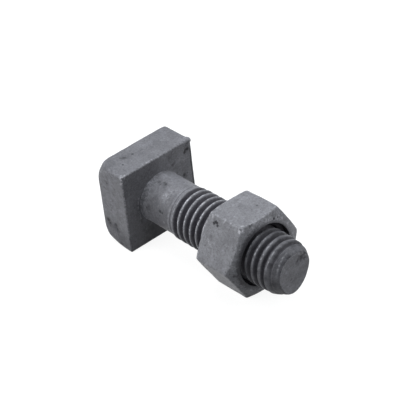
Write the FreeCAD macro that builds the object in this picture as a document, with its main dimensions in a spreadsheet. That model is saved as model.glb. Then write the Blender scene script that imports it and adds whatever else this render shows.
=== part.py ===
import FreeCAD, Part
import math
import os

import Sketcher

# Square head bolt with its hex nut, both hot-dip galvanised.
# Each piece is drawn along its own axis, +X from the head towards the threaded
# end, and then laid down as it rests on a table: on one edge of the square head
# and one flat of the nut.  Sizes are millimetres over the zinc coat, angles degrees.

doc = FreeCAD.newDocument("square_head_bolt")

SIZES = [
    # forged square head, measured from its bearing face
    ("head_across", 20.4),
    ("head_thick", 8.84),
    # the crown is turned over the corners, a little off the bolt's own axis
    ("crown_inset", 1.89),
    ("crown_round", 2.0),
    ("crown_taper", 11.6),
    ("crown_side_shift", 1.15),
    ("crown_up_shift", 0.05),
    # plain shank, which swells a little where the thread was rolled
    ("shank_length", 9.0),
    ("neck_flare", 0.6),
    ("swell_rise", 0.45),
    ("swell_length", 0.9),
    # rolled thread, right hand
    ("thread_diameter", 12.7),
    ("threads_per_inch", 13),
    ("crest_width", 0.28),
    ("groove_depth", 0.46),
    ("runout_lead", 0.4),
    # end of the bolt
    ("bolt_length", 42.0),
    ("end_chamfer", 1.6),
    ("end_drop", 0.6),
    # nut
    ("nut_across", 18.69),
    ("nut_thick", 10.65),
    ("nut_place", 23.0),
    ("nut_face_inset", 0.3),
    ("nut_back_cut", 0.75),
    ("nut_front_cut", 1.25),
    ("nut_mouth_flare", 0.6),
    ("nut_mouth_depth", 0.5),
    ("thread_play", 0.12),
]

INCH = 25.4

# worked out from the sizes above
DERIVED = [
    ("crown_flat", "=head_across * sqrt(2) - 2 * crown_inset"),
    ("shank_diameter", "=thread_diameter - 2 * swell_rise"),
    ("end_diameter", "=thread_diameter - 2 * end_drop"),
    ("pitch", "=%s / threads_per_inch" % INCH),
    ("thread_start", "=shank_length + runout_lead + pitch"),
    ("thread_turns", "=ceil((bolt_length - thread_start) / pitch) + 1"),
    ("groove_half", "=(pitch - crest_width) / 2"),
    ("groove_spare", "=crest_width / 4"),
    ("nut_corners", "=nut_across / cos(30)"),
    ("nut_face", "=nut_across - 2 * nut_face_inset"),
    ("nut_mouth", "=thread_diameter + 2 * nut_mouth_flare"),
    ("nut_edge_cut", "=nut_front_cut * (nut_across - nut_face) / (nut_corners - nut_face)"),
    ("nut_edge", "=nut_place + nut_thick - nut_edge_cut"),
    # the pose at rest: how far the axis dips, and where the bearing face then lies
    ("dip", "=atan((head_across - nut_across) / 2 / nut_edge)"),
    ("rest_height", "=head_across / 2 * cos(dip)"),
    ("reach_back", "=head_thick * cos(dip) + head_across / 2 * sin(dip)"),
    ("reach_front", "=bolt_length * cos(dip) + end_diameter / 2 * sin(dip)"),
    ("rest_middle", "=(reach_back - reach_front) / 2"),
]

sheet = doc.addObject("Spreadsheet::Sheet", "sizes")
for row, (alias, value) in enumerate(SIZES + DERIVED, start=1):
    sheet.set("A%d" % row, alias)
    sheet.set("B%d" % row, str(value))
    sheet.setAlias("B%d" % row, alias)
working = doc.addObject("Spreadsheet::Sheet", "working")
doc.recompute()


def plane(body, role):
    for feature in body.Origin.OriginFeatures:
        if feature.Role == role:
            return feature
    raise RuntimeError("no plane " + role)


def new_sketch(body, name, role):
    sketch = body.newObject("Sketcher::SketchObject", name)
    sketch.AttachmentSupport = [(plane(body, role), "")]
    sketch.MapMode = "FlatFace"
    return sketch


def value_of(expression):
    """The number an expression has now, for the first drawing of a line."""
    working.set("A1", "=" + expression)
    working.recompute()
    found = working.get("A1")
    return float(getattr(found, "Value", found))


def hold(sketch, kind, first, first_end, expression):
    """Ties one coordinate of a point to the sheet, or lays the point on an axis."""
    if expression == "0":
        axis = -2 if kind == "DistanceX" else -1
        sketch.addConstraint(Sketcher.Constraint("PointOnObject", first, first_end, axis))
        return
    index = sketch.addConstraint(
        Sketcher.Constraint(kind, -1, 1, first, first_end, value_of(expression))
    )
    sketch.setExpression("Constraints[%d]" % index, expression)


def outline(sketch, corners):
    """A closed outline of straight lines; each corner is a pair of expressions."""
    points = [FreeCAD.Vector(value_of(a), value_of(b), 0) for a, b in corners]
    first = sketch.GeometryCount
    count = len(points)
    for i in range(count):
        sketch.addGeometry(Part.LineSegment(points[i], points[(i + 1) % count]), False)
    for i in range(count):
        after = first + (i + 1) % count
        sketch.addConstraint(Sketcher.Constraint("Coincident", first + i, 2, after, 1))
    for i, (a, b) in enumerate(corners):
        hold(sketch, "DistanceX", first + i, 1, a)
        hold(sketch, "DistanceY", first + i, 1, b)


def must_cut(feature, before):
    """A cut that takes nothing away is a fault in the model."""
    doc.recompute()
    if not feature.Shape.Volume < before.Shape.Volume - 0.01:
        raise RuntimeError(feature.Name + " removed nothing")


def lay_down(body, distance):
    """Puts a piece on the dipped bolt axis, this far from the bearing face."""
    body.Placement = FreeCAD.Placement(
        FreeCAD.Vector(0, 0, 0), FreeCAD.Rotation(FreeCAD.Vector(0, 1, 0), 1)
    )
    body.setExpression("Placement.Rotation.Angle", "sizes.dip")
    along = "sizes.rest_middle + %s * cos(sizes.dip)" % distance
    down = "sizes.rest_height - %s * sin(sizes.dip)" % distance
    body.setExpression("Placement.Base.x", along)
    body.setExpression("Placement.Base.z", down)


# The bolt: forged head, shank and rolled thread in one piece.
bolt = doc.addObject("PartDesign::Body", "square_head_bolt")
bolt.Label = "square_head_bolt"

head_square = new_sketch(bolt, "head_square", "YZ_Plane")
outline(
    head_square,
    [
        ("-sizes.head_across / 2", "-sizes.head_across / 2"),
        ("sizes.head_across / 2", "-sizes.head_across / 2"),
        ("sizes.head_across / 2", "sizes.head_across / 2"),
        ("-sizes.head_across / 2", "sizes.head_across / 2"),
    ],
)
head = bolt.newObject("PartDesign::Pad", "head")
head.Profile = head_square
head.setExpression("Length", "sizes.head_thick")
head.Reversed = True
doc.recompute()

# The crown profile stands on an axis of its own.  What lies outside the flat, the
# rounded edge and the taper is taken off the four corners.
crown_profile = new_sketch(bolt, "crown_profile", "XZ_Plane")
crown_profile.setExpression("AttachmentOffset.Base.y", "sizes.crown_up_shift")
crown_profile.setExpression("AttachmentOffset.Base.z", "-sizes.crown_side_shift")
back = value_of("-sizes.head_thick")
flat = value_of("sizes.crown_flat / 2")
edge = value_of("sizes.crown_round")
lean = math.radians(value_of("sizes.crown_taper"))
clear = value_of("sizes.head_across")
edge_end = FreeCAD.Vector(back + edge - edge * math.sin(lean), flat + edge * math.cos(lean), 0)
bearing_end = FreeCAD.Vector(0, edge_end.y - edge_end.x * math.tan(lean), 0)
crown_profile.addGeometry(
    [
        Part.ArcOfCircle(
            Part.Circle(FreeCAD.Vector(back + edge, flat, 0), FreeCAD.Vector(0, 0, 1), edge),
            math.pi / 2 + lean,
            math.pi,
        ),
        Part.LineSegment(edge_end, bearing_end),
        Part.LineSegment(bearing_end, FreeCAD.Vector(0, clear, 0)),
        Part.LineSegment(FreeCAD.Vector(0, clear, 0), FreeCAD.Vector(back, clear, 0)),
        Part.LineSegment(FreeCAD.Vector(back, clear, 0), FreeCAD.Vector(back, flat, 0)),
    ],
    False,
)
ARC, SLANT, BEARING_SIDE, OUTER, BACK_SIDE = range(5)
crown_profile.addConstraint(
    [
        Sketcher.Constraint("Tangent", ARC, 1, SLANT, 1),
        Sketcher.Constraint("Coincident", SLANT, 2, BEARING_SIDE, 1),
        Sketcher.Constraint("Coincident", BEARING_SIDE, 2, OUTER, 1),
        Sketcher.Constraint("Coincident", OUTER, 2, BACK_SIDE, 1),
        Sketcher.Constraint("Tangent", BACK_SIDE, 2, ARC, 2),
        Sketcher.Constraint("Horizontal", OUTER),
        Sketcher.Constraint("Vertical", BACK_SIDE),
        Sketcher.Constraint("Vertical", BEARING_SIDE),
    ]
)
hold(crown_profile, "DistanceX", BEARING_SIDE, 1, "0")
hold(crown_profile, "DistanceX", BACK_SIDE, 2, "-sizes.head_thick")
hold(crown_profile, "DistanceY", BACK_SIDE, 2, "sizes.crown_flat / 2")
hold(crown_profile, "DistanceY", OUTER, 1, "sizes.head_across")
round_index = crown_profile.addConstraint(Sketcher.Constraint("Radius", ARC, edge))
crown_profile.setExpression("Constraints[%d]" % round_index, "sizes.crown_round")
taper_index = crown_profile.addConstraint(Sketcher.Constraint("Angle", SLANT, lean))
crown_profile.setExpression("Constraints[%d]" % taper_index, "sizes.crown_taper")
crown = bolt.newObject("PartDesign::Groove", "crown")
crown.Profile = crown_profile
crown.ReferenceAxis = (crown_profile, ["H_Axis"])
crown.Angle = 360
must_cut(crown, head)

# Shank, the slight swell to the thread's full diameter, and the chamfered end.
shank_profile = new_sketch(bolt, "shank_profile", "XZ_Plane")
outline(
    shank_profile,
    [
        ("0", "0"),
        ("0", "sizes.shank_diameter / 2 + sizes.neck_flare"),
        ("sizes.neck_flare", "sizes.shank_diameter / 2"),
        ("sizes.shank_length", "sizes.shank_diameter / 2"),
        ("sizes.shank_length + sizes.swell_length", "sizes.thread_diameter / 2"),
        ("sizes.bolt_length - sizes.end_chamfer", "sizes.thread_diameter / 2"),
        ("sizes.bolt_length", "sizes.end_diameter / 2"),
        ("sizes.bolt_length", "0"),
    ],
)
shank = bolt.newObject("PartDesign::Revolution", "shank")
shank.Profile = shank_profile
shank.ReferenceAxis = (shank_profile, ["H_Axis"])
shank.Angle = 360
doc.recompute()

# The thread groove, drawn above the axis where it first has its full depth.  Here it
# is a plain V, two fifths of the real depth, which keeps the long spiral light.  It is
# drawn a little past the crests, so that it breaks clean through their surface.
groove_profile = new_sketch(bolt, "groove_profile", "XZ_Plane")
CREST = "sizes.thread_diameter / 2"
PAST_CREST = CREST + " + sizes.groove_depth * sizes.groove_spare / sizes.groove_half"
outline(
    groove_profile,
    [
        ("sizes.thread_start", CREST + " - sizes.groove_depth"),
        ("sizes.thread_start + sizes.groove_half + sizes.groove_spare", PAST_CREST),
        ("sizes.thread_start - sizes.groove_half - sizes.groove_spare", PAST_CREST),
    ],
)
thread = bolt.newObject("PartDesign::SubtractiveHelix", "thread")
thread.Profile = groove_profile
thread.ReferenceAxis = (groove_profile, ["H_Axis"])
thread.Mode = 1
thread.setExpression("Pitch", "sizes.pitch")
thread.setExpression("Turns", "sizes.thread_turns")
thread.Angle = 0
thread.LeftHanded = False
thread.Reversed = False
must_cut(thread, shank)

# The run-out: the same groove goes on one turn towards the head and rises out of
# the shank as it goes.
runout = bolt.newObject("PartDesign::SubtractiveHelix", "runout")
runout.Profile = groove_profile
runout.ReferenceAxis = (groove_profile, ["H_Axis"])
runout.Mode = 1
runout.setExpression("Pitch", "sizes.pitch")
runout.Turns = 1
runout.setExpression("Angle", "atan(sizes.groove_depth / sizes.pitch)")
runout.LeftHanded = False
runout.Reversed = True
must_cut(runout, thread)
lay_down(bolt, "0")

# The nut: hexagon bar, both faces chamfered at the corners, bored and countersunk.
# Its own thread is too fine to draw here; the bore clears the bolt's crests.
nut = doc.addObject("PartDesign::Body", "hex_nut")
nut.Label = "hex_nut"

hexagon = new_sketch(nut, "hexagon", "YZ_Plane")
outline(
    hexagon,
    [
        ("sizes.nut_corners / 2", "0"),
        ("sizes.nut_corners / 4", "sizes.nut_across / 2"),
        ("-sizes.nut_corners / 4", "sizes.nut_across / 2"),
        ("-sizes.nut_corners / 2", "0"),
        ("-sizes.nut_corners / 4", "-sizes.nut_across / 2"),
        ("sizes.nut_corners / 4", "-sizes.nut_across / 2"),
    ],
)
hexagon_bar = nut.newObject("PartDesign::Pad", "hexagon_bar")
hexagon_bar.Profile = hexagon
hexagon_bar.setExpression("Length", "sizes.nut_thick")
doc.recompute()

# Each chamfer is a cone from the face's circle; it is drawn to twice its height so
# that it runs out past the corners.
chamfer_profile = new_sketch(nut, "chamfer_profile", "XZ_Plane")
FACE = "sizes.nut_face / 2"
PAST = "sizes.nut_corners - sizes.nut_face / 2"
outline(
    chamfer_profile,
    [
        ("0", FACE),
        ("2 * sizes.nut_back_cut", PAST),
        ("0", PAST),
    ],
)
outline(
    chamfer_profile,
    [
        ("sizes.nut_thick", FACE),
        ("sizes.nut_thick - 2 * sizes.nut_front_cut", PAST),
        ("sizes.nut_thick", PAST),
    ],
)
chamfers = nut.newObject("PartDesign::Groove", "chamfers")
chamfers.Profile = chamfer_profile
chamfers.ReferenceAxis = (chamfer_profile, ["H_Axis"])
chamfers.Angle = 360
must_cut(chamfers, hexagon_bar)

bore_profile = new_sketch(nut, "bore_profile", "XZ_Plane")
BORE = "sizes.thread_diameter / 2 + sizes.thread_play"
outline(
    bore_profile,
    [
        ("0", "0"),
        ("0", "sizes.nut_mouth / 2"),
        ("sizes.nut_mouth_depth", BORE),
        ("sizes.nut_thick - sizes.nut_mouth_depth", BORE),
        ("sizes.nut_thick", "sizes.nut_mouth / 2"),
        ("sizes.nut_thick", "0"),
    ],
)
bore = nut.newObject("PartDesign::Groove", "bore")
bore.Profile = bore_profile
bore.ReferenceAxis = (bore_profile, ["H_Axis"])
bore.Angle = 360
must_cut(bore, chamfers)
lay_down(nut, "sizes.nut_place")

doc.removeObject(working.Name)
doc.recompute()
for item in doc.Objects:
    if "Invalid" in item.State or "Error" in item.State:
        raise RuntimeError("%s is not sound: %s" % (item.Name, item.State))

pieces = [bolt, nut]
for piece in pieces:
    if piece.Shape.isNull() or not piece.Shape.isValid():
        raise RuntimeError(piece.Label + " has no sound shape")
    if len(piece.Shape.Solids) != 1:
        raise RuntimeError(piece.Label + " is not one solid")

os.makedirs("parts", exist_ok=True)
for piece in pieces:
    piece.Shape.exportStep("parts/%s.step" % piece.Label)
    box = piece.Shape.BoundBox
    print(piece.Label, "volume %.1f" % piece.Shape.Volume)
    print("  x %.3f to %.3f" % (box.XMin, box.XMax))
    print("  y %.3f to %.3f" % (box.YMin, box.YMax))
    print("  z %.3f to %.3f" % (box.ZMin, box.ZMax))
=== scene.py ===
import bpy, bmesh, math
from mathutils import Matrix, Vector, noise


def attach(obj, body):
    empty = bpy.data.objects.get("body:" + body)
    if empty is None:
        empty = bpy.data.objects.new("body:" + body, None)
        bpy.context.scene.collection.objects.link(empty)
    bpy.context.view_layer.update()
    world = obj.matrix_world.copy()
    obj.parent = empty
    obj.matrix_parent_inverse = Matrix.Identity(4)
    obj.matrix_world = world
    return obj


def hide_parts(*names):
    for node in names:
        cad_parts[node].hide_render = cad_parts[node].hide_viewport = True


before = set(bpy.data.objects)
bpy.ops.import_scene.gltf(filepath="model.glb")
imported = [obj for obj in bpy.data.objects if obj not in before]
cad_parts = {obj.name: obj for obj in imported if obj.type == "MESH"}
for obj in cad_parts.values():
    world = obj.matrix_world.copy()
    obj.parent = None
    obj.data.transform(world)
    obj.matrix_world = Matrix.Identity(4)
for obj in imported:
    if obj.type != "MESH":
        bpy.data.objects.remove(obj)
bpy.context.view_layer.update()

scene = bpy.context.scene


# ---------------------------------------------------------------- square head bolt
# A half-inch machine bolt, forged from steel bar: the square head is struck hot, with a crown
# turned a little off centre, and its shank stands just under the size of the rolled thread.
# It was dipped whole in molten zinc, which rounds every edge; its thread is painted dark as shade.

# Sizes are millimetres. The bolt is made along x, from the seat under its head at 0 to its end,
# and a turn round it runs from +y over the top. A thread crest passes turn 0 at CREST_LINE.
PITCH = 25.4 / 13
STEPS = 192
STEP = PITCH / STEPS
FULL_TURN = 2 * math.pi
CREST_LINE = 11.84
CREST, SHANK, GROOVE_DEPTH = 6.35, 6.00, 1.1
# from one crest to the next: the step, and how far the thread lies below the crest there
THREAD_SECTION = [
    (0, 0.00), (12, 0.01), (21, 0.04), (29, 0.11), (37, 0.24), (50, 0.49), (64, 0.76), (77, 1.00),
    (87, 1.08), (96, GROOVE_DEPTH), (105, 1.08), (115, 1.00), (128, 0.76), (142, 0.49),
    (155, 0.24), (163, 0.11), (171, 0.04), (180, 0.01), (STEPS, 0.00)]
# the tube that carries the thread starts back on the plain shank, before any groove is cut
TUBE_START = CREST_LINE - 3.5 * PITCH
BOLT_END = 42.5


def cut_across(bm, place, drop_before=False, drop_after=False):
    """Cuts the work square across, and may drop what lies before or after the cut."""
    bmesh.ops.bisect_plane(bm, geom=bm.verts[:] + bm.edges[:] + bm.faces[:], dist=0.002,
                           plane_co=(place, 0, 0), plane_no=(1, 0, 0),
                           clear_inner=drop_before, clear_outer=drop_after)


def thread_tube(first, last):
    """One pitch of thread section, led round once and laid end to end, then trimmed square."""
    bm = bmesh.new()
    pitches = math.ceil((last - first) / PITCH) + 2
    x = CREST_LINE + (math.floor((first - CREST_LINE) / PITCH) - 1) * PITCH
    rail = [bm.verts.new((x + step * STEP, SHANK, 0.0)) for step, drop in THREAD_SECTION]
    for a, b in zip(rail, rail[1:]):
        bm.edges.new((a, b))
    bmesh.ops.spin(bm, geom=bm.verts[:] + bm.edges[:], cent=(0, 0, 0), axis=(1, 0, 0),
                   dvec=(STEP, 0, 0), angle=FULL_TURN, steps=STEPS, use_merge=False)
    one_turn = bm.verts[:] + bm.edges[:] + bm.faces[:]
    for n in range(1, pitches):
        copy = bmesh.ops.duplicate(bm, geom=one_turn)["geom"]
        bmesh.ops.translate(bm, vec=(n * PITCH, 0, 0),
                            verts=[part for part in copy if isinstance(part, bmesh.types.BMVert)])
    bmesh.ops.remove_doubles(bm, verts=bm.verts[:], dist=0.004)
    cut_across(bm, first, drop_before=True)
    cut_across(bm, last, drop_after=True)
    return bm


def mark_rings(bm):
    """Each vertex keeps its place along the piece and its turn round it while it is shaped."""
    # the other three marks run from 0 to 1 and set the zinc's colour: the first to the painted shade
    # of the grooves, the second to bright metal, which is partly wear and partly painted highlights,
    # and the third to dark, which is partly flux marks and partly painted shade
    marks = [bm.verts.layers.float.new(name)
             for name in ("along", "around", "hollow_shade", "rub_and_glint", "stain_and_shade")]
    for v in bm.verts:
        v[marks[0]] = v.co.x
        v[marks[1]] = math.atan2(v.co.z, v.co.y)
    return marks


def open_loop(bm, place):
    """The open rim at one place along the piece."""
    return [e for e in bm.edges if e.is_boundary and all(abs(v.co.x - place) < 0.01 for v in e.verts)]


def draw_rings(bm, loop, along, stations):
    """Draws an open rim on, one ring for each station, and gives back the last ring."""
    for station in stations:
        fresh = bmesh.ops.extrude_edge_only(bm, edges=loop)["geom"]
        new = {part for part in fresh if isinstance(part, bmesh.types.BMVert)}
        for v in new:
            v[along] = station
        loop = [part for part in fresh
                if isinstance(part, bmesh.types.BMEdge) and all(v in new for v in part.verts)]
    return loop


def past_crest(x, turn):
    """How much of a pitch lies between the last crest and a place along and round the bolt."""
    return ((x - CREST_LINE) / PITCH - turn / FULL_TURN) % 1.0


def groove_middle(x, turn):
    return x - past_crest(x, turn) * PITCH + PITCH / 2


def thread_drop(x, turn):
    """How far the thread lies below its crest at a place along and round the bolt."""
    place = past_crest(x, turn) * STEPS
    for (step, drop), (next_step, next_drop) in zip(THREAD_SECTION, THREAD_SECTION[1:]):
        if place <= next_step:
            return drop + (next_drop - drop) * (place - step) / (next_step - step)


def smooth(t):
    t = min(1.0, max(0.0, t))
    return t * t * (3 - 2 * t)


def fade(value, start, length):
    """Rises smoothly from 0 at the start to 1 a length further on, or further back if negative."""
    return smooth((value - start) / length)


SWELL_START, SWELL_LENGTH = 9.6, 1.3
RUNOUT_START, RUNOUT_LIFT = 9.2, 0.85
# zinc left in the grooves that stand out of the nut, and the last turns, rolled a little smaller
OUT_OF_NUT, FILL, FILL_LENGTH = 33, 0.1, 3
TAPER, TAPER_START, TAPER_LENGTH = 0.2, 36.5, 3
# the chamfer at the end, deeper on one side, and its uneven places with turn, width and depth
CHAMFER_START, CHAMFER_LENGTH, CHAMFER_CURVE = 40.0, 2.5, 1.3
CHAMFER_DEPTH, CHAMFER_TILT, TILT_TURN = 1.6, 0.35, math.radians(165)
CHAMFER_UNEVEN = ((260, 32, -0.85), (335, 32, 0.45))
LIP_ROUND, LIP_LENGTH = 1.6, 0.3


def bolt_radius(x, turn):
    """The bolt's radius, where the groove fades in over its first turn, and its plain blank's."""
    blank = SHANK + (CREST - SHANK) * fade(x, SWELL_START, SWELL_LENGTH)
    chamfer = CHAMFER_DEPTH + CHAMFER_TILT * math.cos(turn - TILT_TURN)
    for side, width, amount in CHAMFER_UNEVEN:
        beside = (math.degrees(turn) - side + 180) % 360 - 180
        chamfer += amount * math.exp(-(beside / width) ** 2)
    blank -= TAPER * fade(x, TAPER_START, TAPER_LENGTH)
    blank -= chamfer * (max(0.0, x - CHAMFER_START) / CHAMFER_LENGTH) ** CHAMFER_CURVE
    blank -= LIP_ROUND * max(0.0, x - BOLT_END + LIP_LENGTH) ** 2
    cut_in = min(1.0, max(0.0, (groove_middle(x, turn) - RUNOUT_START) / PITCH))
    lift = (1.0 - cut_in) * RUNOUT_LIFT + FILL * fade(x, OUT_OF_NUT, FILL_LENGTH)
    return min(blank, CREST - thread_drop(x, turn) + lift), blank


HEAD_HALF, HEAD_THICK, NECK = 10.25, 8.84, 0.2
HEAD_MIDDLE = Vector((-4.25, 0, 0))
EDGE_ROUND, SEAT_ROUND, CROWN_EDGE_ROUND = 0.42, 0.25, 0.6
# the crown: a flat back, rounded over to a taper, its middle to one side of the bolt's own axis
CROWN_FLAT, CROWN_ROUND, CROWN_LEAN = 12.535, 2.0, math.radians(11.6)
CROWN_SIDE, CROWN_UP = 1.15, 0.05
TAPER_X = CROWN_ROUND - HEAD_THICK - CROWN_ROUND * math.sin(CROWN_LEAN)
TAPER_R = CROWN_FLAT + CROWN_ROUND * math.cos(CROWN_LEAN)


def crown_distance(x, y, z):
    """How far a point stands outside the turned crown: back face, its round and the taper."""
    q = math.hypot(y - CROWN_SIDE, z - CROWN_UP)
    vx, vq = x + HEAD_THICK - CROWN_ROUND, q - CROWN_FLAT
    reach = math.atan2(vq, vx)
    if reach < 0:
        return -HEAD_THICK - x
    if reach >= math.pi / 2 + CROWN_LEAN:
        return math.hypot(vx, vq) - CROWN_ROUND
    return (q - TAPER_R - (x - TAPER_X) * math.tan(CROWN_LEAN)) * math.cos(CROWN_LEAN)


def crown_edge(y, z):
    """Where the crown meets the side of the head, measured along the bolt."""
    q = math.hypot(y - CROWN_SIDE, z - CROWN_UP)
    if q <= CROWN_FLAT:
        return -HEAD_THICK
    if q <= TAPER_R:
        fall = math.sqrt(max(0.0, CROWN_ROUND ** 2 - (q - CROWN_FLAT) ** 2))
        return CROWN_ROUND - HEAD_THICK - fall
    return min(0.0, TAPER_X + (q - TAPER_R) / math.tan(CROWN_LEAN))


def head_form(p):
    """Above 0 outside the head with its rounded edges, and below 0 inside."""
    total = -1.0
    for distance, rounding in ((abs(p.y) - HEAD_HALF, EDGE_ROUND),
                               (abs(p.z) - HEAD_HALF, EDGE_ROUND), (p.x, SEAT_ROUND),
                               (crown_distance(p.x, p.y, p.z), CROWN_EDGE_ROUND)):
        total += (max(0.0, distance + rounding) / rounding) ** 2
    return total


def settle(form, centre, sharp, least=0.85):
    """Draws a point of the sharp form in towards the middle until it lies on the rounded one."""
    most = 1.03
    for halving in range(14):
        share = (least + most) / 2
        if form(centre + (sharp - centre) * share) > 0:
            most = share
        else:
            least = share
    return centre + (sharp - centre) * least


def head_point(station, turn):
    """Stations 0 to -1 cross the seat, -1 to -2 the side and -2 to -3 the crown, to its middle."""
    # the rings are square by the time they reach the side, and crowd towards its corners
    gather = fade(min(-station, 1.0), 0, 0.6)
    turn -= 0.2 * gather * math.sin(4 * turn - math.pi)
    c, s = math.cos(turn), math.sin(turn)
    reach = HEAD_HALF / max(abs(c), abs(s))
    if station > -1:
        r = SHANK + NECK + (reach - SHANK - NECK) * -station
        sharp = Vector((0.0, r * c, r * s))
    elif station > -2:
        sharp = Vector((crown_edge(reach * c, reach * s) * (-station - 1), reach * c, reach * s))
    else:
        r = reach * (3 + station)
        sharp = Vector((crown_edge(r * c, r * s), r * c, r * s))
    if station > -0.35:
        return sharp, 0.0
    placed = settle(head_form, HEAD_MIDDLE, sharp)
    return placed, min(1.0, (sharp - placed).length / 0.2)


def uneven(p, size, height, seed):
    """A soft unevenness of so many millimetres across and high."""
    return height * noise.noise(Vector((p.x / size + seed, p.y / size, p.z / size)))


def patchy(p, level, swing):
    """Leaves bright wear and painted glints whole in some places and takes them off in others."""
    return smooth(level + swing * noise.noise(p))


# The thread and the end are one tube, and the shank and the head are drawn on from it in rings.
# BACK_POLE and END_POLE are the stations at which the head's back and the bolt's end close.
BACK_POLE, END_POLE = -3.0, 46.8
bolt = thread_tube(TUBE_START, END_POLE)
for place in (9.0, 9.9, BOLT_END - 0.35, BOLT_END - 0.2, BOLT_END - 0.1, BOLT_END, BOLT_END + 0.12):
    cut_across(bolt, place)
along, around, hollow_shade, rub_and_glint, stain_and_shade = mark_rings(bolt)
near_edge = (0.008, 0.018, 0.03, 0.05, 0.08, 0.12, 0.17, 0.23, 0.3, 0.38, 0.46)
shank_rings = [TUBE_START - 0.4 * n for n in range(1, 12)]
neck_rings = [NECK * t for t in (1.0, 0.75, 0.5, 0.3, 0.15, 0.05, 0.0)]
seat_rings = [-t for t in (0.06, 0.12, 0.2, 0.28, 0.36, 0.44, 0.52, 0.6, 0.68, 0.75, 0.81, 0.86,
                           0.9, 0.93, 0.955, 0.972, 0.985, 0.994)]
side_rings = [-1 - t for t in near_edge] + [-1.54] + [-2 + t for t in reversed(near_edge)]
crown_rings = [-2 - t for t in (0.0, 0.008, 0.016, 0.026, 0.038, 0.052, 0.068, 0.086, 0.106, 0.128,
                                0.152, 0.178, 0.206, 0.24, 0.28, 0.33, 0.39, 0.45, 0.51, 0.57, 0.63,
                                0.69, 0.75, 0.81, 0.87, 0.92, 0.96, 0.985)]
last_ring = draw_rings(bolt, open_loop(bolt, TUBE_START), along,
                       shank_rings + neck_rings + seat_rings + side_rings + crown_rings + [BACK_POLE])
back_pole = {v for e in last_ring for v in e.verts}
end_pole = {v for e in open_loop(bolt, END_POLE) for v in e.verts}

HIGHLIGHT_TURN = math.radians(128)
NUT_COVERS_FROM = 25
CREASE_FROM, CREASE_TO, CREASE_HALF = 9.3, 10.4, 0.16
for v in bolt.verts:
    x, turn = v[along], v[around]
    c, s = math.cos(turn), math.sin(turn)
    if x < 0:
        # the edges are painted bright, partly as wear and partly as painted highlights, the seat's
        # more than the crown's
        v.co, v[rub_and_glint] = head_point(x, turn)
        v[rub_and_glint] *= patchy(v.co * 1.3, 0.55, 1.4) * (0.8 if v.co.x > -0.6 else 0.35)
    elif x < NECK:
        lean = math.acos(1 - x / NECK)
        r = SHANK + NECK * (1 - math.sin(lean))
        v.co = Vector((x, r * c, r * s))
    else:
        r, blank = bolt_radius(min(x, BOLT_END), turn)
        if x > BOLT_END:
            r *= 1 - (x - BOLT_END) / (END_POLE - BOLT_END)
            v[rub_and_glint] = 0.12 * smooth(1 - (x - BOLT_END) / 0.4)
        else:
            v[hollow_shade] = max(0.0, blank - r) / GROOVE_DEPTH
            # the crests are worn a little bright all round, and on their upper left side carry
            # painted highlights
            side = math.cos(turn - HIGHLIGHT_TURN)
            if x < NUT_COVERS_FROM:
                rub_and_highlight = 0.3 + 0.7 * fade(side, 0.6, 0.35)
            else:
                rub_and_highlight = 0.05 + 0.75 * fade(side, 0.82, 0.16)
            place = past_crest(x, turn) * STEPS
            crest = smooth(1.5 - min(place, STEPS - place) / 13) * fade(x, 10.2, 1.0)
            breakup = patchy(Vector((x * 2.2, r * c * 1.4, r * s * 1.4)), 0.75, 1.6)
            v[rub_and_glint] = crest * rub_and_highlight * breakup
            # painted shade along the faint crease left where the first groove was rolled in
            groove = groove_middle(x, turn)
            if CREASE_FROM < groove < CREASE_TO and abs(x - groove) < CREASE_HALF:
                v[hollow_shade] = 0.2
        v.co = Vector((min(x, BOLT_END), r * c, r * s))

bmesh.ops.pointmerge(bolt, verts=list(back_pole), merge_co=(-HEAD_THICK, 0, 0))
bmesh.ops.pointmerge(bolt, verts=list(end_pole), merge_co=(BOLT_END, 0, 0))
bmesh.ops.recalc_face_normals(bolt, faces=bolt.faces[:])

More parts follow.
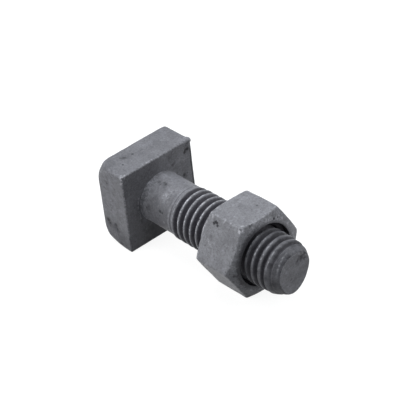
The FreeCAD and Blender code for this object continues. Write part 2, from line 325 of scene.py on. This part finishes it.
SHANK_END = 9
LIP_RADIUS, LIP_HALF, LIP_HEIGHT, LIP_TURN = 6.75, 0.22, 0.09, math.radians(185)
FOOT_TURN = math.radians(170)
for v in bolt.verts:
    p = v.co.copy()
    # the zinc's own unevenness, over all, on the worn edges and on the thread
    facing = 0.3 * (1 if p.x > -0.02 else -1 if p.x < -6 else 0)
    out = Vector((facing, p.y, p.z)).normalized()
    swell = uneven(p, size=6.0, height=0.05, seed=3.1) + uneven(p, size=1.7, height=0.02, seed=7.7)
    v.co += out * swell * (1.0 if p.x < 1 else 0.45)
    if p.x < 0.01 and v[rub_and_glint] > 0.05:
        v.co += v.normal * uneven(p, size=0.9, height=0.07, seed=5.3) * v[rub_and_glint]
    if p.x > 10:
        v.co += v.normal * uneven(p, size=0.9, height=0.04, seed=9.1)
    if abs(p.x) < 0.02:
        # the seat is painted darker: a little over all, more to its left, and most below the shank,
        # which is painted shade where the shank shadows it and the table lights it little
        v[stain_and_shade] = 0.1 + 0.22 * fade(p.z + 0.7 * p.y, 6.0, -9)
        v[stain_and_shade] += 1.1 * fade(p.z, -2.2, -5.5) * fade(p.y, -8, 5)
        v[stain_and_shade] += 0.26 * fade(p.y, 3.0, -6) * fade(p.z, 2, 4)
        # and painted shade, darkest of all, along the right edge, whose rounding turns from the lamps
        if p.y > HEAD_HALF - 0.65 and -9 < p.z < 7.9:
            v[stain_and_shade] = 1.0
        # the zinc has drawn a thin lip round the shank on the left, painted bright as a highlight
        lip = smooth(1 - abs(math.hypot(p.y, p.z) - LIP_RADIUS) / LIP_HALF)
        lip *= fade(math.cos(v[around] - LIP_TURN), 0.75, 0.2)
        v.co.x += LIP_HEIGHT * lip
        v[rub_and_glint] = max(v[rub_and_glint], 0.7 * lip)
    elif p.x < 0:
        # painted shade towards the bottom of the head, most on its sides, where the table lights it
        # little, and a little darker on its top
        v[stain_and_shade] = 0.5 * fade(p.z, -1.5, -8) * (1 if abs(p.y) > 9.9 else 0.4)
        v[stain_and_shade] += 0.28 * fade(p.z, 9, 1)
    elif p.x < SHANK_END:
        # painted shade on the shank, a little all round and most on its lower left, fading out
        # towards the head
        v[stain_and_shade] = (0.2 + 0.34 * fade(p.z, 5.2, -3) * fade(p.y, 1.5, -5)) * fade(p.x, 0, 4)
        # painted light on the left side of the shank next to the head
        painted_light = 0.35 * fade(p.x, 2.6, -2) * fade(math.cos(v[around] - FOOT_TURN), 0.2, 0.5)
        v[rub_and_glint] = max(v[rub_and_glint], painted_light)
    else:
        # painted shade towards the underside of the thread and in its grooves
        v[stain_and_shade] = 0.2 * fade(p.z, -2.0, -4) + 0.45 * v[hollow_shade]
        if OUT_OF_NUT < p.x < BOLT_END - 0.01:
            # the thread that stands out of the nut is painted darker, less so on its crests
            end_darkening = 0.78 + uneven(p, size=1.5, height=0.4, seed=4.4)
            v[stain_and_shade] += end_darkening * (1 - 0.7 * v[rub_and_glint])
        elif p.x > OUT_OF_NUT:
            v[stain_and_shade] = max(0.0, 0.1 + uneven(p, size=2.5, height=0.3, seed=8.4))


def wear(bm, marks):
    """Small dents, spots of flux, bright wear and painted glints: place, reach, depth, dirt and shine
    of each.
    """
    for place, reach, depth, darkening, shine in marks:
        place = Vector(place)
        for v in bm.verts:
            away = v.co - place
            if abs(away.x) < reach and abs(away.y) < reach and abs(away.z) < reach:
                ragged = 1 + 0.8 * noise.noise(v.co * 1.9)
                share = smooth(1.4 - 1.4 * away.length / reach * ragged)
                v.co -= v.normal * depth * share
                v[stain_and_shade] = min(1.0, v[stain_and_shade] + darkening * share)
                v[rub_and_glint] = min(1.0, v[rub_and_glint] + shine * share)


wear(bolt, (
    # top of the head
    ((-5.4, -2.3, 10.2), 0.9, 0.04, 0.3, 0), ((-5.7, -4.6, 10.2), 1.0, 0.03, 0.3, 0),
    ((-5.5, -3.9, 10.2), 2.0, 0, 0.25, 0), ((-4.1, -1.2, 10.2), 1.3, 0, 0.2, 0),
    ((-3.5, 4.5, 10.2), 2.4, 0, 0.15, 0), ((-6.2, -8.0, 9.8), 2.5, 0, 0.2, 0),
    # raised specks along the top edge of the seat, painted bright as highlights, and painted glints
    # at its upper left corner
    ((-0.4, -2.2, 10.2), 0.5, -0.05, 0, 0.9), ((-0.4, -1.2, 10.2), 0.4, -0.04, 0, 0.8),
    ((-0.5, -3.4, 10.2), 0.4, -0.03, 0, 0.6), ((-0.2, -10.1, 10.1), 1.0, 0, 0, 1.0),
    ((-0.3, -9.2, 10.2), 0.5, 0, 0, 0.8), ((-0.2, -10.2, 8.6), 0.6, 0, 0, 0.6),
    # left side of the head
    ((-5.5, -10.2, 6.4), 0.9, 0.03, 0.3, 0), ((-6.2, -10.2, 6.9), 0.6, 0.03, 0.3, 0),
    ((-5.0, -10.2, 0.4), 0.9, 0.02, 0.4, 0), ((-6.9, -10.2, -4.6), 1.4, 0.06, 0.5, 0),
    ((-4.4, -10.2, -5.4), 1.7, 0.05, 0.45, 0), ((-5.4, -10.2, -4.6), 2.4, 0.03, 0.25, 0),
    ((-3.5, -10.2, -9.4), 0.9, 0, 0.4, 0), ((-2.2, -10.2, 3.0), 1.2, 0, 0.25, 0),
    ((-3.0, -10.2, -8.0), 2.5, 0, 0.2, 0),
    # seat under the head: the hooked pit, its neighbours and the flash left at the upper corner
    ((0, 8.7, 7.9), 1.1, 0.12, 0.4, 0), ((0, 4.5, 6.1), 0.9, 0.03, 0.4, 0),
    ((0, 5.3, 4.9), 0.8, 0.03, 0.3, 0), ((0, 7.5, 1.7), 1.0, 0.05, 0.5, 0),
    ((0, 3.9, 8.6), 1.2, 0, 0.35, 0), ((0, 6.9, 6.2), 1.8, 0, -0.15, 0.1),
    ((0, -6.4, -3.4), 0.9, 0.03, 0.4, 0), ((-0.4, 9.4, 10.3), 1.6, -0.3, 0, 0.15),
    ((-0.1, 10.25, 8.9), 0.5, 0.04, 0.8, 0),
    # shank
    ((2.2, -1.8, 5.7), 1.3, 0.02, 0.2, 0), ((4.0, -1.4, 5.8), 1.2, 0.03, 0.35, 0),
    ((2.6, -5.8, 1.1), 1.2, 0.02, 0.3, 0), ((4.3, -4.8, 3.4), 1.6, 0.02, 0.25, 0),
    ((6.4, -3.5, 4.8), 1.4, 0, 0, 0.3), ((7.0, -2.2, 5.5), 1.2, 0, 0, 0.3),
    ((7.7, -5.9, -0.5), 0.35, 0, 0, 0.8),
    # end of the bolt, where the bar was cropped
    ((42.5, 2.2, 2.6), 1.5, 0.12, 0.5, 0), ((42.5, 3.1, 2.3), 1.0, 0.08, 0.4, 0),
    ((42.5, 1.2, 1.8), 1.1, 0.05, 0.25, 0), ((42.5, -2.8, 3.0), 1.4, 0.06, 0.1, 0.1),
    ((42.5, 0.5, -2.5), 1.8, 0.05, 0.2, 0)))
# no bump of the head reaches below the edge that it lies on
HEAD_REST = -10.2
for v in bolt.verts:
    if v.co.x < 0:
        v.co.z = max(v.co.z, HEAD_REST)
bmesh.ops.recalc_face_normals(bolt, faces=bolt.faces[:])

# The bolt dips towards its end until the nut's lower flat touches the table, as the frame has it.
MM = 0.001
SEAT_X, SEAT_HEIGHT, DIP = -0.0165177029, 0.0101966666, math.radians(1.4648407)
AS_IT_LIES = (Matrix.Translation((SEAT_X, 0, SEAT_HEIGHT)) @ Matrix.Rotation(DIP, 4, "Y")
              @ Matrix.Scale(MM, 4))


def make_object(bm, name):
    """The finished work becomes an object in the scene."""
    mesh = bpy.data.meshes.new(name)
    bm.to_mesh(mesh)
    bm.free()
    piece = bpy.data.objects.new(name, mesh)
    scene.collection.objects.link(piece)
    return piece


def lay_down(bm, name):
    """The piece is put where it rests, in metres, and its faces are shaded smooth."""
    bmesh.ops.transform(bm, matrix=AS_IT_LIES, verts=bm.verts[:])
    for face in bm.faces:
        face.smooth = True
    return make_object(bm, name)


bolt_piece = lay_down(bolt, "galvanised_bolt")


def plug(tree, node, inputs):
    """Gives each named socket of a node a plain value or what another node puts out."""
    for name, value in inputs.items():
        if isinstance(value, bpy.types.NodeSocket):
            tree.links.new(value, node.inputs[name])
        else:
            node.inputs[name].default_value = value
    return node


def put(tree, kind, inputs, **settings):
    """One new node with its settings and inputs."""
    node = tree.nodes.new("ShaderNode" + kind)
    for name, value in settings.items():
        setattr(node, name, value)
    return plug(tree, node, inputs)


def effect(name, takes, gives):
    """An empty node group, what is given to it, and where its result goes."""
    group = bpy.data.node_groups.new(name, "ShaderNodeTree")
    for way, sockets in (("INPUT", takes), ("OUTPUT", gives)):
        for socket, kind in sockets.items():
            group.interface.new_socket(socket, in_out=way, socket_type="NodeSocket" + kind)
    return group, group.nodes.new("NodeGroupInput").outputs, group.nodes.new("NodeGroupOutput")


def cloud(tree, where, scale, detail, rough=0.5, distort=0.0):
    return put(tree, "TexNoise", {"Vector": where, "Scale": scale, "Detail": detail,
                                  "Roughness": rough, "Distortion": distort}).outputs["Fac"]


def spread(tree, source, low, high, to_low=0.0, to_high=1.0):
    return put(tree, "MapRange", {"Value": source, "From Min": low, "From Max": high,
                                  "To Min": to_low, "To Max": to_high}).outputs["Result"]


def reckon(tree, operation, a, b):
    return put(tree, "Math", {0: a, 1: b}, operation=operation).outputs[0]


# sockets of a Mix node that mixes colours
MIX_SHARE, MIX_UNDER, MIX_OVER, MIX_RESULT = 0, 6, 7, 2


def paint(tree, under, over, share, blend="MIX"):
    return put(tree, "Mix", {MIX_SHARE: share, MIX_UNDER: under, MIX_OVER: over},
               data_type="RGBA", blend_type=blend).outputs[MIX_RESULT]


def zinc_coat():
    """Hot-dip zinc seen close: cloudy blue-grey, fine grain, painted shade in the grooves, dark flux
    marks and painted shade, pale wear and painted highlights.
    """
    coat, given, result = effect(
        "hot_dip_zinc",
        takes={"Light Tone": "Color", "Dark Tone": "Color", "Groove Shade": "Color",
               "Cloud Size": "Float"},
        gives={"Colour": "Color", "Roughness": "Float", "Height": "Float"})
    where = put(coat, "TexCoord", {}).outputs["Object"]
    broad = cloud(coat, where, given["Cloud Size"], 5.0, rough=0.6, distort=0.4)
    middle = cloud(coat, where, 800.0, 4.0, rough=0.62, distort=0.3)
    grain = cloud(coat, where, 4200.0, 2.0)
    specks = cloud(coat, where, 1500.0, 2.0)
    mottle = cloud(coat, where, 1900.0, 3.0, rough=0.7)
    hollow_shade_amounts, rubs_and_glints, stains_and_shade = [put(coat, "Attribute", {}, attribute_name=name).outputs["Fac"]
                             for name in ("hollow_shade", "rub_and_glint", "stain_and_shade")]

    colour = paint(coat, given["Dark Tone"], given["Light Tone"], spread(coat, broad, 0.32, 0.66))
    pale_cloud = reckon(coat, "MULTIPLY", spread(coat, middle, 0.5, 0.72), 0.5)
    colour = paint(coat, colour, (0.27, 0.273, 0.3, 1), pale_cloud)
    dark_speck = reckon(coat, "MULTIPLY", spread(coat, specks, 0.63, 0.72), 0.5)
    colour = paint(coat, colour, (0.05, 0.05, 0.056, 1), dark_speck)
    # painted shade in the grooves and the bore
    groove_shade_share = spread(coat, hollow_shade_amounts, 0.03, 0.32, 0.0, 0.95)
    colour = paint(coat, colour, given["Groove Shade"], groove_shade_share)
    # bright wear and painted highlights, broken up
    rub_and_glint_share = reckon(coat, "MULTIPLY", rubs_and_glints, spread(coat, mottle, 0.38, 0.6))
    colour = paint(coat, colour, (0.5, 0.505, 0.54, 1), rub_and_glint_share)
    # dark flux marks and painted shade
    darkening = reckon(coat, "MULTIPLY", stains_and_shade, spread(coat, middle, 0.3, 0.6, 0.65, 1.0))
    colour = paint(coat, colour, (0.03, 0.03, 0.035, 1), darkening)
    for source, low, high, darker, lighter in (
            (grain, 0.3, 0.7, (0.87, 0.87, 0.87, 1), (1.13, 1.13, 1.13, 1)),
            (mottle, 0.33, 0.67, (0.8, 0.8, 0.8, 1), (1.18, 1.18, 1.19, 1))):
        shade = paint(coat, darker, lighter, spread(coat, source, low, high))
        colour = paint(coat, colour, shade, 1.0, "MULTIPLY")
    height = reckon(coat, "ADD", reckon(coat, "MULTIPLY", middle, 0.7),
                    reckon(coat, "MULTIPLY", grain, 0.25))
    plug(coat, result, {"Colour": colour, "Height": height,
                        "Roughness": spread(coat, middle, 0.3, 0.7, 0.42, 0.62)})
    return coat


def flux_pit():
    """One small dark pit with a ragged rim, laid over a colour at a place on the object."""
    pit, given, result = effect(
        "flux_pit",
        takes={"Colour": "Color", "Place": "Vector", "Size": "Float", "Depth": "Float"},
        gives={"Colour": "Color"})
    where = put(pit, "TexCoord", {}).outputs["Object"]
    away = put(pit, "VectorMath", {0: where, 1: given["Place"]}, operation="DISTANCE")
    rim = reckon(pit, "ADD", reckon(pit, "DIVIDE", away.outputs["Value"], given["Size"]),
                 cloud(pit, where, 2200.0, 2.0))
    dark = reckon(pit, "MULTIPLY", spread(pit, rim, 1.65, 1.1), given["Depth"])
    plug(pit, result, {"Colour": paint(pit, given["Colour"], (0.014, 0.014, 0.017, 1), dark)})
    return pit


def zinc_finish(name, tones, pits):
    """A zinc material: its tones, and its dark pits with each one's place, size and depth."""
    material = bpy.data.materials.new(name)
    material.use_nodes = True
    tree = material.node_tree
    coat = put(tree, "Group", tones,
               node_tree=bpy.data.node_groups.get("hot_dip_zinc") or zinc_coat()).outputs
    colour = coat["Colour"]
    for place, size, depth in pits:
        colour = put(tree, "Group", {"Colour": colour, "Place": AS_IT_LIES @ Vector(place),
                                     "Size": size * MM, "Depth": depth},
                     node_tree=bpy.data.node_groups.get("flux_pit") or flux_pit()).outputs["Colour"]
    bump = put(tree, "Bump", {"Strength": 0.5, "Distance": 0.12 * MM, "Height": coat["Height"]})
    plug(tree, tree.nodes["Principled BSDF"], {
        "Metallic": 0.04, "Specular IOR Level": 0.22, "Base Color": colour,
        "Roughness": coat["Roughness"], "Normal": bump.outputs["Normal"]})
    return material


# the painted shade of the grooves and the bore
GROOVE_SHADE = (0.062, 0.06, 0.072, 1)
bolt_piece.data.materials.append(zinc_finish(
    "bolt_zinc",
    {"Light Tone": (0.190, 0.192, 0.208, 1), "Dark Tone": (0.140, 0.141, 0.153, 1),
     "Groove Shade": GROOVE_SHADE, "Cloud Size": 300.0},
    (
        # seat under the head
        ((0, 8.2, 7.5), 0.45, 1.0), ((0, 8.5, 8.0), 0.4, 0.9), ((0, 9.1, 8.0), 0.45, 1.0),
        ((0, 7.4, 1.8), 0.4, 0.8), ((0, 4.4, 6.1), 0.4, 0.5),
        # left side and top of the head
        ((-7.2, -10.2, -4.3), 0.5, 0.9), ((-6.7, -10.2, -5.0), 0.4, 0.8),
        ((-4.6, -10.2, -4.5), 0.45, 0.7), ((-4.2, -10.2, -5.6), 0.45, 0.7),
        ((-5.6, -10.2, 6.4), 0.35, 0.6), ((-3.8, -6.5, 10.2), 0.3, 0.8),
        ((-5.4, -2.3, 10.2), 0.35, 0.6), ((-5.8, -4.6, 10.2), 0.4, 0.5),
        # shank, and one in the thread
        ((6.5, -5.7, 1.9), 0.4, 0.8), ((7.2, -5.7, 1.8), 0.3, 0.7), ((4.2, -1.4, 5.9), 0.4, 0.6),
        ((3.5, -1.2, 5.9), 0.3, 0.5), ((2.0, -5.9, 1.0), 0.3, 0.35), ((2.3, -1.6, 5.8), 0.4, 0.4),
        ((18.1, -4.3, 4.5), 0.4, 1.0))))
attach(bolt_piece, "bolt")
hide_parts("square_head_bolt")


# ---------------------------------------------------------------- hex nut
# The bolt's own nut, cut from hexagon bar, tapped oversize after dipping and run on by hand.
# Its corners are turned off at both ends, most at the front, and the zinc softens them.
NUT_BACK, NUT_FRONT, NUT_HALF = 22.8, 33.8, 9.38
NUT_MIDDLE = Vector(((NUT_BACK + NUT_FRONT) / 2, 0, 0))
# each face ends at a circle, and from there its chamfer leans back by so much for each millimetre
BACK_FACE, BACK_LEAN, FRONT_FACE, FRONT_LEAN = 9.045, 0.34, 8.4, 0.52
CORNER_ROUND, SHEARED_TURN = 0.28, math.radians(60)
FRONT_EDGE_ROUND, BACK_EDGE_ROUND, FRONT_FACE_ROUND, BACK_FACE_ROUND = 0.3, 0.8, 0.7, 0.2
MOUTH, BORE_LEAST, BORE_PLAY = 7.35, 5.5, 0.22


def at_sheared_corner(turn):
    """1 at the upper right corner, where the bar was sheared off uneven, and 0 away from it."""
    return max(0.0, math.cos(turn - SHEARED_TURN)) ** 8


def back_lean(turn):
    return BACK_LEAN - 0.22 * at_sheared_corner(turn)


def nut_form(p):
    """Above 0 outside the nut with its rounded edges, and below 0 inside."""
    turn = math.atan2(p.z, p.y)
    lean_back = back_lean(turn)
    corner = CORNER_ROUND + 0.6 * at_sheared_corner(turn) * fade(p.x, 28.0, -4)
    r, total = math.hypot(p.y, p.z), -1.0
    for n in range(3):
        flat = math.radians(90 + 60 * n)
        past_flat = abs(p.y * math.cos(flat) + p.z * math.sin(flat)) - NUT_HALF
        total += (max(0.0, past_flat + corner) / corner) ** 2
    front = ((p.x - NUT_FRONT) + (r - FRONT_FACE) * FRONT_LEAN) / math.hypot(1, FRONT_LEAN)
    back = ((NUT_BACK - p.x) + (r - BACK_FACE) * lean_back) / math.hypot(1, lean_back)
    for distance, rounding in ((front, FRONT_EDGE_ROUND), (back, BACK_EDGE_ROUND),
                               (p.x - NUT_FRONT, FRONT_FACE_ROUND),
                               (NUT_BACK - p.x, BACK_FACE_ROUND)):
        total += (max(0.0, distance + rounding) / rounding) ** 2
    return total


def nut_point(station, turn):
    """Stations 1 to 2 cross the front face, 2 to 3 its chamfer, 3 to 4 the flat, then the back."""
    # the rings crowd towards the six corners, but are round at the bore
    gather = fade(station, 1.0, 0.6) if station < 3 else fade(station, 6.0, -0.6)
    turn -= 0.13 * gather * math.sin(6 * turn)
    c, s = math.cos(turn), math.sin(turn)
    reach = NUT_HALF / math.cos(turn % math.radians(60) - math.radians(30))
    front_edge = NUT_FRONT - (reach - FRONT_FACE) * FRONT_LEAN
    back_edge = NUT_BACK + (reach - BACK_FACE) * back_lean(turn)
    if station < 2:
        x, r = NUT_FRONT, MOUTH + (FRONT_FACE - MOUTH) * (station - 1)
    elif station < 3:
        t = station - 2
        x, r = NUT_FRONT + (front_edge - NUT_FRONT) * t, FRONT_FACE + (reach - FRONT_FACE) * t
    elif station < 4:
        x, r = front_edge + (back_edge - front_edge) * (station - 3), reach
    elif station < 5:
        t = station - 4
        x, r = back_edge + (NUT_BACK - back_edge) * t, reach + (BACK_FACE - reach) * t
    else:
        x, r = NUT_BACK, BACK_FACE + (MOUTH - BACK_FACE) * (station - 5)
    sharp = Vector((x, r * c, r * s))
    placed = settle(nut_form, NUT_MIDDLE, sharp, least=0.8) if r > 7.5 else sharp
    return placed, min(1.0, (sharp - placed).length / 0.15)


# The bore is tapped first, and the outside is drawn on from its front rim to its back rim.
tap_start = CREST_LINE + round((NUT_BACK + 0.5 - CREST_LINE) / STEP) * STEP
tap_end = CREST_LINE + round((NUT_FRONT - 0.5 - CREST_LINE) / STEP) * STEP
nut = thread_tube(tap_start, tap_end)
along, around, hollow_shade, rub_and_glint, stain_and_shade = mark_rings(nut)
on_face = (0.0, 0.15, 0.3, 0.45, 0.6, 0.72, 0.82, 0.9, 0.95)
on_flat = (0.0, 0.01, 0.022, 0.036, 0.055, 0.08, 0.12, 0.18, 0.26, 0.34, 0.42)
BACK_RIM = 7.0
draw_rings(nut, open_loop(nut, tap_end), along, (
    [1 + t for t in on_face] + [2.0, 2.08, 2.18, 2.3, 2.45, 2.6, 2.75, 2.9]
    + [3 + t for t in on_flat] + [3.5] + [4 - t for t in reversed(on_flat[1:])]
    + [4.0, 4.1, 4.25, 4.4, 4.55, 4.7, 4.82, 4.92]
    + [5.0] + [6 - t for t in reversed(on_face[:-1])] + [BACK_RIM]))
for v in nut.verts:
    x, turn = v[along], v[around]
    c, s = math.cos(turn), math.sin(turn)
    if 1 <= x < BACK_RIM:
        v.co, v[rub_and_glint] = nut_point(x, turn)
        continue
    if x == BACK_RIM:
        x = tap_start
    r = max(BORE_LEAST, CREST - thread_drop(x, turn) + BORE_PLAY)
    # opened out at both ends, deepest at the front
    back_mouth = MOUTH - 0.5 - (x - tap_start)
    front_mouth = min(MOUTH - 0.05, MOUTH + 1.2 - (NUT_FRONT - x))
    r = max(r, back_mouth, front_mouth)
    v.co = Vector((x, r * c, r * s))
    # the bore is painted with the grooves' shade
    v[hollow_shade] = 0.8
bmesh.ops.remove_doubles(nut, verts=nut.verts[:], dist=0.002)
bmesh.ops.recalc_face_normals(nut, faces=nut.faces[:])

OFF_CENTRE = Vector((0, 0.2, 0.16))
for v in nut.verts:
    p = v.co.copy()
    r = math.hypot(p.y, p.z)
    # the hole sits a little low and left of the hexagon's middle
    v.co += OFF_CENTRE * fade(r, 6.6, 0.4)
    if r > 7.0:
        out = Vector(((p.x - NUT_MIDDLE.x) * 0.6, p.y, p.z)).normalized()
        swell = uneven(p, size=4.5, height=0.08, seed=11.3)
        swell += uneven(p, size=1.6, height=0.03, seed=2.9)
        v.co += out * swell
        v.co += v.normal * uneven(p, size=0.9, height=0.06, seed=6.1) * v[rub_and_glint]
        # the nut's edges are painted bright in patches, partly as wear and partly as painted
        # highlights
        v[rub_and_glint] *= patchy(p * 1.3, 0.5, 1.4) * 0.6
        if p.x < NUT_FRONT - 0.3 and r < 7.3:
            # painted shade down in the mouth
            v[stain_and_shade] = 0.85
        elif p.x > NUT_FRONT - 1.4 and r < 9.3:
            # painted shade on the front face, dark to the left of the mouth
            v[stain_and_shade] = 0.88 * fade(p.y, 1.0, -5) * fade(p.z, -7.0, 3) * fade(r, 9.0, -0.9)
        else:
            # painted shade towards the bottom of the nut, and a little darker on its top
            v[stain_and_shade] = 0.3 * fade(p.z, 0.5, -3) + 0.09 * fade(p.z, 8.3, 0.8)
wear(nut, (
    # upper left flat
    ((25.9, -6.1, 8.2), 0.9, 0.08, 0.3, 0), ((25.8, -8.3, 4.4), 0.5, -0.02, 0, 0.8),
    ((25.6, -7.6, 5.6), 0.6, 0.02, 0.3, 0), ((31.0, -8.1, 4.6), 0.8, 0.02, 0.25, 0),
    ((25.8, -10.4, 0.6), 0.8, 0.03, 0.3, 0), ((27.2, -8.9, 3.3), 1.6, 0, 0, 0.12),
    ((29.0, -7.2, 6.0), 1.6, 0, 0.15, 0), ((31.5, -6.6, 7.0), 1.8, 0, 0.1, 0),
    ((29.5, -9.6, 1.5), 1.8, 0, 0.12, 0),
    # ridge that tools have caught, with painted glints along it, brightest at the front
    ((24.4, -5.6, 9.3), 0.7, 0, 0, 0.6), ((32.9, -5.3, 9.2), 0.9, 0.05, 0, 1.0),
    ((32.3, -4.4, 9.3), 0.5, 0.03, 0, 0.6), ((30.6, -5.3, 9.4), 0.5, 0, 0, 0.4),
    ((28.0, -5.4, 9.4), 0.7, 0, 0, 0.3),
    # top, front face and its chamfer
    ((29.3, 2.7, 9.4), 0.7, 0.03, 0.25, 0), ((27.6, 0.5, 9.4), 2.0, 0, 0.12, 0),
    ((31.1, 3.0, 9.4), 0.7, 0.02, 0.25, 0), ((33.4, -2.9, 9.2), 0.7, 0.08, 0.3, 0),
    ((33.4, 3.6, 8.0), 1.2, 0.05, 0.3, 0), ((33.4, -8.4, -0.8), 0.8, 0.06, 0.5, 0),
    ((33.4, -7.9, -4.4), 0.8, 0.04, 0.4, 0.2), ((33.2, -8.9, 1.6), 0.8, 0, 0, 0.3)))
nut_piece = lay_down(nut, "galvanised_nut")
nut_piece.data.materials.append(zinc_finish(
    "nut_zinc",
    {"Light Tone": (0.2, 0.203, 0.218, 1), "Dark Tone": (0.15, 0.151, 0.163, 1),
     "Groove Shade": GROOVE_SHADE, "Cloud Size": 340.0},
    (
        # the hooked mark on the upper left flat
        ((25.4, -6.25, 8.1), 0.5, 1.0), ((25.8, -6.1, 8.4), 0.5, 1.0),
        ((26.2, -6.15, 8.35), 0.45, 1.0), ((26.5, -6.35, 8.0), 0.45, 1.0),
        # front chamfer, front face and top
        ((33.4, -3.0, 9.3), 0.4, 0.9), ((33.4, -2.4, 9.4), 0.3, 0.8), ((33.5, 3.7, 8.9), 0.3, 0.7),
        ((33.6, 3.5, 7.7), 0.35, 0.8), ((33.6, 4.6, 7.5), 0.3, 0.7), ((29.3, 2.9, 9.5), 0.3, 0.6),
        ((33.3, -8.8, -0.6), 0.4, 0.6))))
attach(nut_piece, "nut")
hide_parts("hex_nut")


# ---------------------------------------------------------------- floor, light and camera
# A seamless white table under three soft lamps, one overhead, one from the left and a weak one
# from the front, with a little light from all round. The camera looks down on the threaded end.


def seen_by(tree, *kinds):
    """1 for rays of these kinds and 0 for all others."""
    rays = put(tree, "LightPath", {}).outputs
    seen = rays[kinds[0]]
    for kind in kinds[1:]:
        seen = reckon(tree, "MAXIMUM", seen, rays[kind])
    return seen


floor = bmesh.new()
bmesh.ops.create_grid(floor, x_segments=1, y_segments=1, size=4.0)
table = make_object(floor, "white_table")
paper = bpy.data.materials.new("white_paper")
paper.use_nodes = True
tree = paper.node_tree
glow = reckon(tree, "MULTIPLY", seen_by(tree, "Is Camera Ray", "Is Glossy Ray"), 0.9)
plug(tree, tree.nodes["Principled BSDF"], {
    "Base Color": (0.2, 0.2, 0.2, 1), "Roughness": 0.9, "Specular IOR Level": 0.2,
    "Emission Color": (1, 1, 1, 1), "Emission Strength": glow})
table.data.materials.append(paper)

world = bpy.data.worlds.new("studio")
scene.world = world
world.use_nodes = True
tree = world.node_tree
shown = seen_by(tree, "Is Camera Ray", "Is Transmission Ray", "Is Glossy Ray")
plug(tree, tree.nodes["Background"], {
    "Color": (0.93, 0.96, 1.0, 1), "Strength": spread(tree, shown, 0.0, 1.0, 0.18, 1.0)})


def soft_light(name, place, size, watts, colour=(1, 1, 1)):
    """A square soft lamp, turned to the object."""
    lamp = bpy.data.lights.new(name, "AREA")
    lamp.shape, lamp.size, lamp.energy, lamp.color = "SQUARE", size, watts, colour
    light = bpy.data.objects.new(name, lamp)
    light.location = place
    light.rotation_euler = Vector(place).to_track_quat("Z", "Y").to_euler()
    scene.collection.objects.link(light)


soft_light("overhead_softbox", (-0.15, 0.25, 1.1), size=0.9, watts=13.2, colour=(0.95, 0.975, 1.0))
soft_light("left_softbox", (-0.5, -1.1, 0.7), size=0.8, watts=11.8)
soft_light("front_softbox", (0.9, 0.75, 0.7), size=0.8, watts=5.5)

eye = bpy.data.cameras.new("camera")
eye.lens, eye.sensor_width = 159.8095, 36.0
eye.clip_start, eye.clip_end = 0.01, 20.0
camera = bpy.data.objects.new("camera", eye)
camera.location = (0.25063077, -0.19666857, 0.2332758)
camera.rotation_euler = [math.radians(a) for a in (55.5225227, 6.4001208, 47.780458)]
scene.collection.objects.link(camera)
scene.camera = camera
scene.view_settings.view_transform = "Standard"
